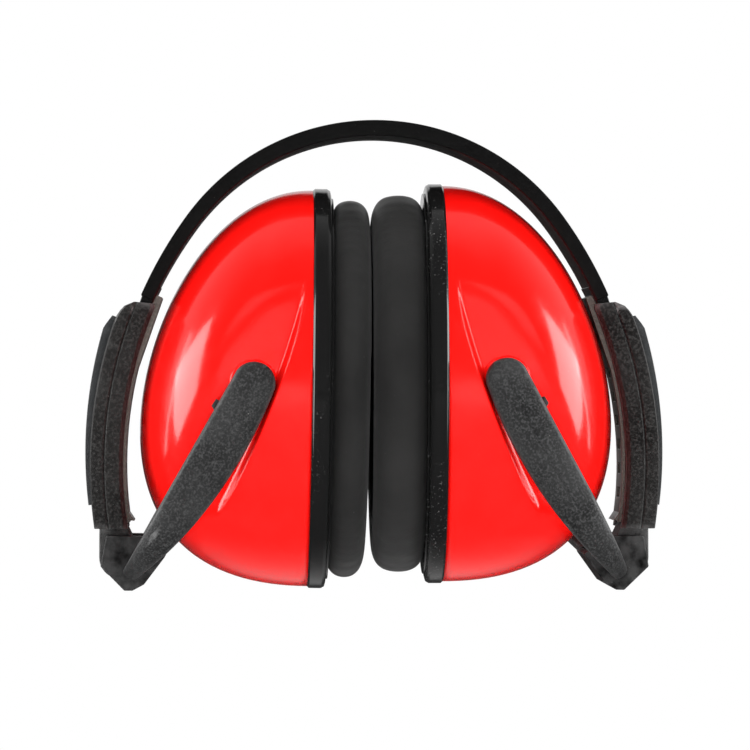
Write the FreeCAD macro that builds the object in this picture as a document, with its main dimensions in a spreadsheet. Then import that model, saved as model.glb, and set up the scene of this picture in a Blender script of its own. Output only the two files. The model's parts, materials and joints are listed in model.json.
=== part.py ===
"""Folding hearing protection earmuffs, drawn in their folded, standing position.

Frame: +Z up, X from the left cup to the right cup, Y from the front to the back, millimetres.
The origin is on the ground under the middle of the band. The right half is drawn first and the
left half is the same pieces turned half a turn about Z, as the real product is assembled.
"""

import FreeCAD
import Part
import Sketcher
import math
import os

SIZES = {
    # headband: a plain sprung strip of three tangent arcs
    "band_width": 28.0,
    "band_thickness": 3.7,
    "band_top": 116.4,
    "side_arc_radius": 104.7,
    "side_arc_across": 38.0,
    "side_arc_height": 31.0,
    "band_end_angle": 23.6,
    # notched strap at each end of the band
    "strap_inside": 99.6,
    "strap_outside": 101.8,
    "strap_lip": 0.8,
    "strap_width": 18.0,
    "strap_flange_width": 22.0,
    "strap_end_angle": 8.2,
    "slot_pitch": 6.0,
    "slot_height": 2.5,
    "slot_width": 8.0,
    # slider that carries the folding hinge
    "slider_inside": 100.3,
    "slider_parting": 105.0,
    "slider_outside": 108.5,
    "tab_channel": 107.6,
    "tab_channel_width": 18.4,
    "slider_width": 30.0,
    "slider_top_angle": 22.3,
    "slider_bottom_angle": 8.4,
    "slide_gap": 0.3,
    "tab_thickness": 1.5,
    "tab_width": 17.0,
    "tab_bottom_angle": 5.2,
    "tab_top_angle": 19.0,
    "tab_standoff_angle": 1.7,
    "tab_pin_from_arc": 106.7,
    "tab_pin_radius": 0.6,
    "tab_barrel_radius": 1.3,
    "tab_barrel_width": 9.0,
    # folding hinge
    "hinge_across": 63.0,
    "hinge_height": 8.0,
    "hinge_tongue_radius": 5.3,
    "hinge_tongue_width": 15.2,
    "hinge_slot_radius": 6.5,
    "hinge_pin_radius": 1.6,
    "hinge_pin_length": 25.0,
    "hinge_block_width": 28.0,
    "pin_fit": 0.05,
    # fork that holds the cup
    "fork_reach": 54.4,
    "fork_half_width": 39.8,
    "fork_thickness": 5.2,
    "fork_tip_radius": 5.25,
    "fork_edge_radius": 115.0,
    "fork_edge_peak": 9.4,
    "fork_end": 56.0,
    "fork_base_inside": 50.5,
    "fork_corner_radius": 24.0,
    "stud_radius": 2.2,
    "bush_radius": 3.4,
    "bush_flange_radius": 4.6,
    # ear cup
    "cup_half_height": 49.4,
    "cup_half_width": 38.8,
    "cup_depth": 42.2,
    "cup_sag": 10.5,
    "cup_wall": 2.4,
    "pivot_from_rim": 14.2,
    "pivot_above_centre": 1.15,
    "recess_half_width": 33.5,
    # rim frame, seal plate, cushion and foam
    "rim_half_height": 49.85,
    "rim_half_width": 40.0,
    "rim_thickness": 4.5,
    "rim_bar": 5.0,
    "plate_thickness": 2.0,
    "cushion_half_height": 47.0,
    "cushion_half_width": 36.7,
    "cushion_round": 4.2,
    "ear_half_height": 30.0,
    "ear_half_width": 20.0,
    "foam_thickness": 12.0,
    # rest position of the two sides
    "left_fold_angle": 52.8,
    "right_fold_angle": 54.5,
    "left_cushion": 9.6,
    "right_cushion": 13.3,
    "left_lean": -0.9,
    "right_lean": 0.0,
}

DOME_STEPS = (0, 15, 30, 44, 56, 67, 76, 82, 86)
STRAP_SLOTS = 8
TURN_Y = FreeCAD.Vector(0, 1, 0)
TURN_Z = FreeCAD.Vector(0, 0, 1)

doc = FreeCAD.newDocument("Earmuffs")
nodes = []


def make_sheet():
    sheet = doc.addObject("Spreadsheet::Sheet", "Sizes")
    for row, (name, number) in enumerate(SIZES.items(), 1):
        sheet.set(f"A{row}", name)
        sheet.set(f"B{row}", str(number))
        sheet.setAlias(f"B{row}", name)
    doc.recompute()
    return sheet


sizes = make_sheet()


def size(name):
    return float(sizes.get(name))


def place(x=0.0, y=0.0, z=0.0, turn_y=0.0):
    return FreeCAD.Placement(FreeCAD.Vector(x, y, z), FreeCAD.Rotation(TURN_Y, turn_y))


def on_side(side, placement):
    """The right-hand placement, or the same place on the left after half a turn about Z."""
    if side == "right":
        return placement
    half_turn = FreeCAD.Placement(FreeCAD.Vector(), FreeCAD.Rotation(TURN_Z, 180))
    return half_turn.multiply(placement)


def finish(shape_object, label, placement):
    shape_object.Label = label
    shape_object.Placement = placement
    nodes.append(shape_object)


# ---------------------------------------------------------------- drawing helpers


def bind(item, bindings):
    for name, expression in bindings.items():
        item.setExpression(name, expression)
    return item


def new_body(name):
    return doc.addObject("PartDesign::Body", name)


def outline(body, name, role, loops, offset=None):
    """A sketch of closed polygons; every corner is a pair of expressions from the sheet."""
    sketch = body.newObject("Sketcher::SketchObject", name)
    plane = next(item for item in body.Origin.OriginFeatures if item.Role == role)
    sketch.AttachmentSupport = [(plane, "")]
    sketch.MapMode = "FlatFace"
    if offset:
        sketch.AttachmentOffset = offset
    for loop in loops:
        first = sketch.GeometryCount
        count = len(loop)
        turns = [2 * math.pi * corner / count for corner in range(count)]
        ring = [FreeCAD.Vector(math.cos(turn), math.sin(turn), 0) for turn in turns]
        for corner in range(count):
            sketch.addGeometry(Part.LineSegment(ring[corner], ring[(corner + 1) % count]))
        for corner, (across, up) in enumerate(loop):
            line = first + corner
            following = first + (corner + 1) % count
            sketch.addConstraint(Sketcher.Constraint("Coincident", line, 2, following, 1))
            for kind, expression in (("DistanceX", across), ("DistanceY", up)):
                index = sketch.addConstraint(Sketcher.Constraint(kind, -1, 1, line, 1, 1.0))
                sketch.setExpression(f"Constraints[{index}]", expression)
    doc.recompute()
    return sketch


def rectangle(left, right, low, high):
    return [(left, low), (right, low), (right, high), (left, high)]


def revolve(body, name, sketch, up_angle, down_angle="0"):
    """Turns a section about the sketch's own vertical axis, up and down from its plane."""
    feature = body.newObject("PartDesign::Revolution", name)
    feature.Profile = sketch
    feature.ReferenceAxis = (sketch, ["V_Axis"])
    feature.Type = "TwoAngles"
    bind(feature, {"Angle": down_angle, "Angle2": up_angle})
    doc.recompute()
    return feature


def pad(body, name, sketch, length):
    feature = body.newObject("PartDesign::Pad", name)
    feature.Profile = sketch
    feature.Midplane = True
    bind(feature, {"Length": length})
    doc.recompute()
    return feature


def cut(body, name, sketch, length=None):
    """Cuts evenly to both sides of the sketch, right through unless a length is given."""
    before = body.Shape.Volume
    feature = body.newObject("PartDesign::Pocket", name)
    feature.Profile = sketch
    feature.Midplane = True
    if length:
        bind(feature, {"Length": length})
    else:
        feature.Type = "ThroughAll"
    doc.recompute()
    if body.Shape.Volume >= before:
        raise RuntimeError(f"{name} cuts nothing")
    return feature


def cylinder_y(name, radius, low, high, x="0", z="0"):
    """A cylinder along Y between two depths, at (x, z)."""
    item = doc.addObject("Part::Cylinder", name)
    item.Placement = FreeCAD.Placement(
        FreeCAD.Vector(), FreeCAD.Rotation(FreeCAD.Vector(1, 0, 0), -90)
    )
    return bind(item, {
        "Radius": radius,
        "Height": f"({high}) - ({low})",
        "Placement.Base.x": x,
        "Placement.Base.y": low,
        "Placement.Base.z": z,
    })


def block(name, x, y, z):
    """A box from three (low, high) pairs of expressions."""
    item = doc.addObject("Part::Box", name)
    bindings = {}
    for axis, extent, (low, high) in zip("xyz", ("Length", "Width", "Height"), (x, y, z)):
        bindings[f"Placement.Base.{axis}"] = low
        bindings[extent] = f"({high}) - ({low})"
    return bind(item, bindings)


def combine(kind, name, base, tool):
    item = doc.addObject(f"Part::{kind}", name)
    item.Base = base
    item.Tool = tool
    return item


def fuse_all(name, items):
    item = doc.addObject("Part::MultiFuse", name)
    item.Shapes = items
    item.Refine = True
    return item


def oval(name, half_height, half_width, across, up="0"):
    """An upright ellipse across the cup, facing along X."""
    item = doc.addObject("Part::Ellipse", name)
    item.Placement = place(turn_y=-90)
    return bind(item, {
        "MajorRadius": half_height,
        "MinorRadius": half_width,
        "Placement.Base.x": across,
        "Placement.Base.z": up,
    })


def oval_block(name, half_height, half_width, start, length):
    """An oval disc whose thickness runs along +X from start."""
    profile = oval(name + "Profile", half_height, half_width, start)
    item = doc.addObject("Part::Extrusion", name)
    item.Base = profile
    item.DirMode = "Custom"
    item.Dir = FreeCAD.Vector(1, 0, 0)
    item.Solid = True
    return bind(item, {"LengthFwd": length})


# ---------------------------------------------------------------- headband


def side_sketch(body, name, side, loops, up_angle=0.0):
    """A sketch whose origin is the centre of one side arc, tilted up to an angle of it."""
    centre = place(-size("side_arc_across"), 0, size("side_arc_height"), -up_angle)
    return outline(body, name, "XY_Plane", loops, on_side(side, centre))


def make_headband():
    body = new_body("Headband")
    reach = size("side_arc_radius")
    across = size("side_arc_across")
    rise = size("band_top") - size("side_arc_height")
    top_radius = (reach**2 - across**2 - rise**2) / (2 * (reach - rise))
    top_centre = size("band_top") - top_radius
    joint_angle = math.degrees(math.atan2(top_centre - size("side_arc_height"), across))
    half = "Sizes.band_width / 2"

    crown = outline(
        body, "CrownSection", "XY_Plane",
        [rectangle(f"{top_radius} - Sizes.band_thickness", str(top_radius), f"-{half}", half)],
        place(0, 0, top_centre, -joint_angle),
    )
    revolve(body, "Crown", crown, str(180 - 2 * joint_angle))

    band = rectangle(
        "Sizes.side_arc_radius - Sizes.band_thickness", "Sizes.side_arc_radius", f"-{half}", half
    )
    web = rectangle(
        "Sizes.strap_inside", "Sizes.strap_outside",
        "-Sizes.strap_width / 2", "Sizes.strap_width / 2",
    )
    flange = rectangle(
        "Sizes.strap_outside - Sizes.strap_lip", "Sizes.strap_outside",
        "-Sizes.strap_flange_width / 2", "Sizes.strap_flange_width / 2",
    )
    hook = rectangle(
        "Sizes.strap_inside - 1", "Sizes.strap_inside + 0.5",
        "-Sizes.strap_width / 2", "Sizes.strap_width / 2",
    )
    for side in ("right", "left"):
        start = size("band_end_angle")
        section = side_sketch(body, f"{side}BandSection", side, [band], start)
        revolve(body, f"{side}Band", section, str(joint_angle - start))
        for part, loop in (("Web", web), ("Flange", flange)):
            section = side_sketch(body, f"{side}{part}Section", side, [loop])
            revolve(body, f"{side}{part}", section,
                    "Sizes.band_end_angle + 1.5", "Sizes.strap_end_angle")
        section = side_sketch(body, f"{side}HookSection", side, [hook],
                              -size("strap_end_angle"))
        revolve(body, f"{side}Hook", section, "0.9")

    slots = []
    for slot in range(STRAP_SLOTS):
        middle = f"(Sizes.side_arc_height - 9 + {slot} * Sizes.slot_pitch)"
        slots.append(rectangle(
            "-Sizes.slot_width / 2", "Sizes.slot_width / 2",
            f"{middle} - Sizes.slot_height / 2", f"{middle} + Sizes.slot_height / 2",
        ))
    cut(body, "StrapSlots", outline(body, "SlotOutline", "YZ_Plane", slots))
    finish(body, "headband", FreeCAD.Placement())


# ---------------------------------------------------------------- slider


def slider_placement(side):
    return on_side(side, place(-size("side_arc_across"), 0, size("side_arc_height")))


def pawl_window(body, name):
    """A hole through the slider for the tab's tooth."""
    window = rectangle("-3.2", "3.2", "12", "16")
    cut(body, name + "Window", outline(body, name + "WindowOutline", "YZ_Plane", [window]))


def make_slider_cover(side):
    """Inner half of the slider, with the channel that the strap runs in."""
    body = new_body(f"{side}Cover")
    outer = "Sizes.slider_width / 2"
    mouth = "(Sizes.strap_width / 2 + Sizes.slide_gap)"
    channel = "(Sizes.strap_flange_width / 2 + Sizes.slide_gap)"
    lip = "Sizes.strap_outside - Sizes.strap_lip - Sizes.slide_gap"
    floor = "Sizes.strap_outside + Sizes.slide_gap"
    upper = [
        ("Sizes.slider_inside", outer), ("Sizes.slider_inside", mouth), (lip, mouth),
        (lip, channel), (floor, channel),
    ]
    lower = [(across, f"-{up}") for across, up in reversed(upper)]
    loop = [("Sizes.slider_parting", f"-{outer}"), ("Sizes.slider_parting", outer)]
    section = outline(body, f"{side}CoverSection", "XY_Plane", [loop + upper + lower])
    revolve(body, f"{side}CoverArc", section,
            "Sizes.slider_top_angle", "Sizes.slider_bottom_angle")
    pawl_window(body, f"{side}Cover")
    finish(body, f"{side}_slider_cover", slider_placement(side))


def make_slider_shell(side):
    """Outer half of the slider, ending in the tongue of the folding hinge."""
    body = new_body(f"{side}Shell")
    outer = "Sizes.slider_width / 2"
    edge = "Sizes.slider_outside - 1.2"
    inset = "(Sizes.slider_width / 2 - 1.6)"
    channel = "(Sizes.tab_channel_width / 2)"
    loop = [
        ("Sizes.slider_parting", f"-{outer}"), (edge, f"-{outer}"),
        ("Sizes.slider_outside", f"-{inset}"), ("Sizes.slider_outside", f"-{channel}"),
        ("Sizes.tab_channel", f"-{channel}"), ("Sizes.tab_channel", channel),
        ("Sizes.slider_outside", channel), ("Sizes.slider_outside", inset),
        (edge, outer), ("Sizes.slider_parting", outer),
    ]
    section = outline(body, f"{side}ShellSection", "XY_Plane", [loop])
    revolve(body, f"{side}ShellArc", section,
            "Sizes.slider_top_angle", "Sizes.slider_bottom_angle")

    hinge_x = "(Sizes.hinge_across + Sizes.side_arc_across)"
    hinge_z = "(Sizes.hinge_height - Sizes.side_arc_height)"
    bottom = "Sizes.slider_bottom_angle * 1deg"
    neck = [
        (f"{hinge_x} - Sizes.hinge_tongue_radius", hinge_z),
        (f"{hinge_x} + Sizes.hinge_tongue_radius", hinge_z),
        (f"Sizes.tab_channel * cos({bottom})", f"-Sizes.tab_channel * sin({bottom})"),
        (f"(Sizes.slider_inside + 0.3) * cos({bottom})",
         f"-(Sizes.slider_inside + 0.3) * sin({bottom})"),
    ]
    pad(body, f"{side}Neck", outline(body, f"{side}NeckOutline", "XZ_Plane", [neck]),
        "Sizes.hinge_tongue_width")
    barrel = circle(body, f"{side}BarrelOutline", hinge_x, hinge_z, "Sizes.hinge_tongue_radius")
    pad(body, f"{side}Barrel", barrel, "Sizes.hinge_tongue_width")
    bore = circle(body, f"{side}BoreOutline", hinge_x, hinge_z,
                  "Sizes.hinge_pin_radius + Sizes.pin_fit")
    cut(body, f"{side}Bore", bore)
    pawl_window(body, f"{side}Shell")
    cut_tab_seat(body, side)
    finish(body, f"{side}_slider_shell", slider_placement(side))


def tab_pin_place():
    """The tab's pin in the slider's own frame, as a pair of expressions."""
    angle = "(Sizes.tab_bottom_angle * 1deg)"
    return f"Sizes.tab_pin_from_arc * cos({angle})", f"-Sizes.tab_pin_from_arc * sin({angle})"


def cut_tab_seat(body, side):
    """A pocket for the tab's barrel and a bore for its pin."""
    across, up = tab_pin_place()
    room = "(Sizes.tab_barrel_radius + 0.35)"
    pocket = rectangle(f"{across} - {room}", f"{across} + 4", f"{up} - {room}", f"{up} + {room}")
    cut(body, f"{side}TabSeat", outline(body, f"{side}TabSeatOutline", "XZ_Plane", [pocket]),
        "Sizes.tab_barrel_width + 2 * Sizes.slide_gap")
    bore = circle(body, f"{side}TabBoreOutline", across, up, "Sizes.tab_pin_radius")
    cut(body, f"{side}TabBore", bore, "Sizes.tab_width - 2")


def circle(body, name, across, up, radius):
    sketch = body.newObject("Sketcher::SketchObject", name)
    plane = next(item for item in body.Origin.OriginFeatures if item.Role == "XZ_Plane")
    sketch.AttachmentSupport = [(plane, "")]
    sketch.MapMode = "FlatFace"
    sketch.addGeometry(Part.Circle(FreeCAD.Vector(), TURN_Z, 1.0))
    for kind, expression in (("DistanceX", across), ("DistanceY", up)):
        index = sketch.addConstraint(Sketcher.Constraint(kind, -1, 1, 0, 3, 1.0))
        sketch.setExpression(f"Constraints[{index}]", expression)
    index = sketch.addConstraint(Sketcher.Constraint("Radius", 0, 1.0))
    sketch.setExpression(f"Constraints[{index}]", radius)
    doc.recompute()
    return sketch


def make_adjuster_tab(side):
    """Curved spring plate on the outside of the slider, with a tooth towards the strap."""
    body = new_body(f"{side}Tab")
    inside = "(Sizes.tab_channel + Sizes.slide_gap)"
    outside = f"({inside} + Sizes.tab_thickness)"
    half = "Sizes.tab_width / 2"
    section = outline(body, f"{side}TabSection", "XY_Plane",
                      [rectangle(inside, outside, f"-{half}", half)])
    revolve(body, f"{side}TabPlate", section, "Sizes.tab_top_angle", "Sizes.tab_bottom_angle")
    tooth = [("103.2", "12.6"), (f"{inside} - 0.4", "12.4"),
             (f"{inside} - 0.4", "15.4"), ("103.2", "13.9")]
    pad(body, f"{side}Tooth", outline(body, f"{side}ToothOutline", "XZ_Plane", [tooth]), "5")
    across, up = tab_pin_place()
    barrel = circle(body, f"{side}TabBarrelOutline", across, up, "Sizes.tab_barrel_radius")
    pad(body, f"{side}TabBarrel", barrel, "Sizes.tab_barrel_width")
    neck = rectangle(f"{across} + 0.4", f"{across} + 2", f"{up} - 1.2", f"{up} + 1.2")
    pad(body, f"{side}TabNeck", outline(body, f"{side}TabNeckOutline", "XZ_Plane", [neck]),
        "Sizes.tab_barrel_width")
    bore = circle(body, f"{side}TabHoleOutline", across, up, "Sizes.tab_pin_radius + Sizes.pin_fit")
    cut(body, f"{side}TabHole", bore)
    # the free upper end stands off, turned outwards about the pin at the lower end
    lift = FreeCAD.Placement(
        FreeCAD.Vector(), FreeCAD.Rotation(TURN_Y, size("tab_standoff_angle")), tab_pin_centre()
    )
    finish(body, f"{side}_adjuster_tab", slider_placement(side).multiply(lift))


def tab_pin_centre():
    angle = math.radians(size("tab_bottom_angle"))
    reach = size("tab_pin_from_arc")
    return FreeCAD.Vector(reach * math.cos(angle), 0, -reach * math.sin(angle))


def make_tab_pin(side):
    half = "(Sizes.tab_width / 2 - 1.1)"
    pin = cylinder_y(f"{side}TabPin", "Sizes.tab_pin_radius", f"-{half}", half)
    centre = FreeCAD.Placement(tab_pin_centre(), FreeCAD.Rotation())
    piece = doc.addObject("Part::Compound", f"{side}TabPinPiece")
    piece.Links = [pin]
    finish(piece, f"{side}_tab_pin", slider_placement(side).multiply(centre))


def make_fold_pin(side):
    half = "(Sizes.hinge_pin_length / 2)"
    pin = cylinder_y(f"{side}FoldPin", "Sizes.hinge_pin_radius", f"-{half}", half)
    piece = doc.addObject("Part::Compound", f"{side}FoldPinPiece")
    piece.Links = [pin]
    finish(piece, f"{side}_fold_pin",
           on_side(side, place(size("hinge_across"), 0, size("hinge_height"))))


# ---------------------------------------------------------------- fork


def pivot_place(side):
    angle = math.radians(size(f"{side}_fold_angle"))
    across = size("hinge_across") - size("fork_reach") * math.cos(angle)
    up = size("hinge_height") + size("fork_reach") * math.sin(angle)
    return across, up


def fork_outline(side):
    """The fork seen from the cup's outside: two arms joined by a base with round corners."""
    body = new_body(f"{side}ForkPlan")
    wide = "Sizes.fork_half_width"
    narrow = "(Sizes.fork_half_width - Sizes.fork_thickness)"
    corner = "Sizes.fork_corner_radius"
    end = "Sizes.fork_end"
    inner = "Sizes.fork_base_inside"
    back = "-Sizes.fork_tip_radius - 1"
    steps = (0, 18, 36, 54, 72, 90)

    def rounded(tip, half, radius, sign):
        points = []
        for step in steps:
            points.append((
                f"{tip} - {radius} + {radius} * cos({step}deg)",
                f"{sign}({half} - {radius} + {radius} * sin({step}deg))",
            ))
        return points

    outer_top = rounded(end, wide, corner, "1 * ")
    outer_low = rounded(end, wide, corner, "-1 * ")
    smaller = f"({corner} - Sizes.fork_thickness)"
    inner_top = rounded(inner, narrow, smaller, "1 * ")
    inner_low = rounded(inner, narrow, smaller, "-1 * ")
    loop = [(back, f"-{wide}")] + outer_low[::-1] + outer_top + [(back, wide), (back, narrow)]
    loop += inner_top[::-1] + inner_low + [(back, f"-{narrow}")]
    pad(body, f"{side}ForkPlanPad", outline(body, f"{side}ForkPlanOutline", "XY_Plane", [loop]),
        "60")
    return body


def fork_profile(side):
    """The arm seen from the side: a blade that swells past its round tip, then tapers."""
    wide = "Sizes.fork_half_width + 2"
    arc = cylinder_y(f"{side}ForkEdge", "Sizes.fork_edge_radius", f"-({wide})", wide,
                     "30", "Sizes.fork_edge_radius - Sizes.fork_edge_peak")
    keep = block(f"{side}ForkKeep", ("0", "Sizes.fork_end + 4"), (f"-({wide})", wide),
                 ("-30", "Sizes.fork_tip_radius"))
    taper = math.degrees(math.atan2(size("fork_tip_radius") + 2.3, size("fork_end")))
    edge_top = FreeCAD.Vector(0, 0, size("fork_tip_radius"))
    keep_turned = doc.addObject("Part::Compound", f"{side}ForkKeepTurned")
    keep_turned.Links = [keep]
    keep_turned.Placement = FreeCAD.Placement(
        FreeCAD.Vector(), FreeCAD.Rotation(TURN_Y, taper), edge_top
    )
    blade = combine("Common", f"{side}ForkBlade", arc, keep_turned)
    tip = cylinder_y(f"{side}ForkTip", "Sizes.fork_tip_radius", f"-({wide})", wide)
    return fuse_all(f"{side}ForkSide", [blade, tip])


def hinge_block(side):
    """The fork's foot: a solid block around the folding hinge, cut open for the tongue."""
    body = new_body(f"{side}HingeBlock")
    hinge = "Sizes.fork_reach"
    loop = [
        (f"{hinge} - 7.5", "-0.9"), (f"{hinge} - 2.4", "6.1"), (f"{hinge} + 4.5", "2.7"),
        (f"{hinge} + 5.72", "-5.643"), (f"{hinge} + 4.5", "-7.25"), (f"{hinge} + 1.6", "-8.6"),
        (f"{hinge} - 7.4", "-8.6"),
    ]
    pad(body, f"{side}BlockPad", outline(body, f"{side}BlockOutline", "XZ_Plane", [loop]),
        "Sizes.hinge_block_width")
    return body


def make_fork(side):
    plan = fork_outline(side)
    arms = combine("Common", f"{side}ForkArms", plan, fork_profile(side))
    solid = fuse_all(f"{side}ForkSolid", [arms, hinge_block(side)])
    gap = "(Sizes.hinge_tongue_width / 2 + Sizes.slide_gap)"
    hinge = "Sizes.fork_reach"
    clearance = fuse_all(f"{side}ForkClearance", [
        cylinder_y(f"{side}TongueSweep", "Sizes.hinge_slot_radius",
                   f"-{gap}", gap, hinge),
        block(f"{side}NeckSweep", (f"{hinge} - 12", f"{hinge} + 9"), (f"-{gap}", gap),
              ("-5", "12")),
        cylinder_y(f"{side}PinSocket", "Sizes.hinge_pin_radius + Sizes.pin_fit",
                   "-Sizes.hinge_pin_length / 2 - 0.5", "Sizes.hinge_pin_length / 2 + 0.5",
                   hinge),
    ])
    cut = combine("Cut", f"{side}ForkCut", solid, clearance)
    inner = "(Sizes.fork_half_width - Sizes.fork_thickness)"
    studs = []
    for name, low, high in (("Front", f"-{inner} - 0.5", f"-{inner} + 5.2"),
                            ("Back", f"{inner} - 5.2", f"{inner} + 0.5")):
        studs.append(cylinder_y(f"{side}{name}Stud", "Sizes.stud_radius", low, high))
    fork = fuse_all(f"{side}Fork", [cut] + studs)
    across, up = pivot_place(side)
    angle = size(f"{side}_fold_angle")
    finish(fork, f"{side}_fork", on_side(side, place(across, 0, up, angle)))


def make_pivot_bushes(side):
    """Two shouldered bushes between the fork's studs and the cup's bosses."""
    wall = "Sizes.recess_half_width"
    solids = []
    for name, sign in (("Front", "-1"), ("Back", "1")):
        ends = {
            "Sleeve": (f"{wall} - 3.6", f"{wall} + 0.3", "Sizes.bush_radius"),
            "Flange": (f"{wall} + 0.2", f"{wall} + 0.8", "Sizes.bush_flange_radius"),
        }
        pieces = []
        for piece, (near, far, radius) in ends.items():
            low, high = (near, far) if sign == "1" else (f"-({far})", f"-({near})")
            pieces.append(cylinder_y(f"{side}{name}{piece}", radius, low, high))
        solid = fuse_all(f"{side}{name}Bush", pieces)
        bore = cylinder_y(f"{side}{name}BushBore", "Sizes.stud_radius + Sizes.pin_fit",
                          "-60", "60")
        solids.append(combine("Cut", f"{side}{name}BushPiece", solid, bore))
    pair = doc.addObject("Part::Compound", f"{side}Bushes")
    pair.Links = solids
    finish(pair, f"{side}_pivot_bushes", cup_placement(side, pivot=True))


# ---------------------------------------------------------------- ear cup


def cup_placement(side, pivot=False):
    """Cup parts are drawn from the rim's outer face at the cup's centre, +X outwards."""
    across, up = pivot_place(side)
    lean = place(across, 0, up, size(f"{side}_lean"))
    if not pivot:
        lean = lean.multiply(place(-size("pivot_from_rim"), 0, -size("pivot_above_centre")))
    return on_side(side, lean)


def dome(name, inset):
    """A sheared half ellipsoid: ovals that shrink and sink towards the cup's crown."""
    ovals = []
    for index, step in enumerate(DOME_STEPS):
        share = math.sin(math.radians(step))
        shrink = f"sqrt(1 - {share:.5f}^2.1)"
        widen = f"sqrt(1 - {share:.5f}^3)"
        ovals.append(oval(
            f"{name}Oval{index}",
            f"(Sizes.cup_half_height - {inset}) * {shrink}",
            f"(Sizes.cup_half_width - {inset}) * {widen} * 0.8 + "
            f"(Sizes.cup_half_width - {inset}) * {shrink} * 0.2",
            f"(Sizes.cup_depth - {inset}) * {share:.5f}",
            f"-Sizes.cup_sag * {share:.5f}^2",
        ))
    item = doc.addObject("Part::Loft", name)
    item.Sections = ovals
    item.Solid = True
    return item


def recess(name, depth):
    """The fan-shaped pocket on each face of the cup that the fork's arm swings over."""
    body = new_body(name)
    loop = [("-1", "31"), ("5", "7.5"), ("11.2", "-11.2"), ("20.5", "-31"), ("26", "-60"),
            ("60", "-60"), ("60", "60"), ("-1", "60")]
    pad(body, name + "Pad", outline(body, name + "Outline", "XZ_Plane", [loop]), "120")
    middle = block(name + "Middle", ("-10", "70"), (f"-({depth})", depth), ("-70", "70"))
    return combine("Cut", name + "Cut", body, middle)


def make_cup_shell(side):
    wall = "Sizes.cup_wall"
    outside = combine("Cut", f"{side}CupOutside", dome(f"{side}Dome", "0"),
                      recess(f"{side}Recess", "Sizes.recess_half_width"))
    inside = combine("Cut", f"{side}CupInside", dome(f"{side}Hollow", wall),
                     recess(f"{side}RecessInside", f"Sizes.recess_half_width - {wall}"))
    shell = combine("Cut", f"{side}CupWalls", outside, inside)
    near = "(Sizes.recess_half_width - 6)"
    far = "(Sizes.recess_half_width - 1)"
    x = "Sizes.pivot_from_rim"
    z = "Sizes.pivot_above_centre"
    bosses = [cylinder_y(f"{side}FrontBoss", "6", f"-{far}", f"-{near}", x, z),
              cylinder_y(f"{side}BackBoss", "6", near, far, x, z)]
    solid = fuse_all(f"{side}CupSolid", [shell] + bosses)
    bore = cylinder_y(f"{side}PivotBore", "Sizes.bush_radius + Sizes.pin_fit", "-60", "60", x, z)
    cup = combine("Cut", f"{side}Cup", solid, bore)
    finish(cup, f"{side}_cup_shell", cup_placement(side))


def oval_ring(name, outer, inner, start, length):
    outer_block = oval_block(name + "Outer", *outer, start, length)
    inner_block = oval_block(name + "Inner", *inner, f"{start} - 1", f"{length} + 2")
    return combine("Cut", name, outer_block, inner_block)


def make_cup_rim(side):
    height = "Sizes.rim_half_height"
    width = "Sizes.rim_half_width"
    ring = oval_ring(
        f"{side}RimRing", (height, width),
        (f"{height} - Sizes.rim_bar", f"{width} - Sizes.rim_bar"),
        "-Sizes.rim_thickness", "Sizes.rim_thickness",
    )
    finish(ring, f"{side}_cup_rim", cup_placement(side))


def make_seal_plate(side):
    ring = oval_ring(
        f"{side}SealPlate",
        ("Sizes.rim_half_height - Sizes.rim_bar", "Sizes.rim_half_width - Sizes.rim_bar"),
        ("Sizes.ear_half_height + 4", "Sizes.ear_half_width + 4"),
        "-Sizes.rim_thickness", "Sizes.plate_thickness",
    )
    finish(ring, f"{side}_seal_plate", cup_placement(side))


def make_foam_liner(side):
    foam = oval_block(f"{side}Foam", "Sizes.rim_half_height - Sizes.rim_bar - 2",
                      "27", "-Sizes.rim_thickness + Sizes.plate_thickness",
                      "Sizes.foam_thickness")
    finish(foam, f"{side}_foam_liner", cup_placement(side))


def make_cushion(side):
    """The soft ear seal, a plain ring with rounded edges."""
    thickness = f"Sizes.{side}_cushion"
    ring = oval_ring(
        f"{side}CushionRing",
        ("Sizes.cushion_half_height", "Sizes.cushion_half_width"),
        ("Sizes.ear_half_height", "Sizes.ear_half_width"),
        f"-Sizes.rim_thickness - {thickness} - 0.02", thickness,
    )
    doc.recompute()
    rounded = doc.addObject("Part::Fillet", f"{side}Cushion")
    rounded.Base = ring
    radius = size("cushion_round")
    edges = []
    for index, edge in enumerate(ring.Shape.Edges, 1):
        bounds = edge.BoundBox
        if bounds.XLength < 0.1 and bounds.ZLength > size("cushion_half_height"):
            edges.append((index, radius, radius))
    rounded.Edges = edges
    finish(rounded, f"{side}_cushion", cup_placement(side))


# ---------------------------------------------------------------- build and export


def check_document():
    for item in doc.Objects:
        if "Invalid" in item.State or "Error" in item.State:
            raise RuntimeError(f"{item.Name} failed: {item.State}")
    for node in nodes:
        if node.Shape.isNull() or not node.Shape.isValid() or not node.Shape.Solids:
            raise RuntimeError(f"{node.Label} has no valid solid")


def main():
    make_headband()
    for side in ("left", "right"):
        make_slider_cover(side)
        make_slider_shell(side)
        make_adjuster_tab(side)
        make_tab_pin(side)
        make_fold_pin(side)
        make_fork(side)
        make_pivot_bushes(side)
        make_cup_shell(side)
        make_cup_rim(side)
        make_seal_plate(side)
        make_foam_liner(side)
        make_cushion(side)
    doc.recompute()
    check_document()
    os.makedirs("parts", exist_ok=True)
    for node in nodes:
        node.Shape.exportStep(f"parts/{node.Label}.step")
        bounds = node.Shape.BoundBox
        print(f"{node.Label}: {len(node.Shape.Solids)} solid(s), {node.Shape.Volume:.0f} mm3,"
              f" x {bounds.XMin:.1f}..{bounds.XMax:.1f} y {bounds.YMin:.1f}..{bounds.YMax:.1f}"
              f" z {bounds.ZMin:.2f}..{bounds.ZMax:.1f}")


main()
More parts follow.
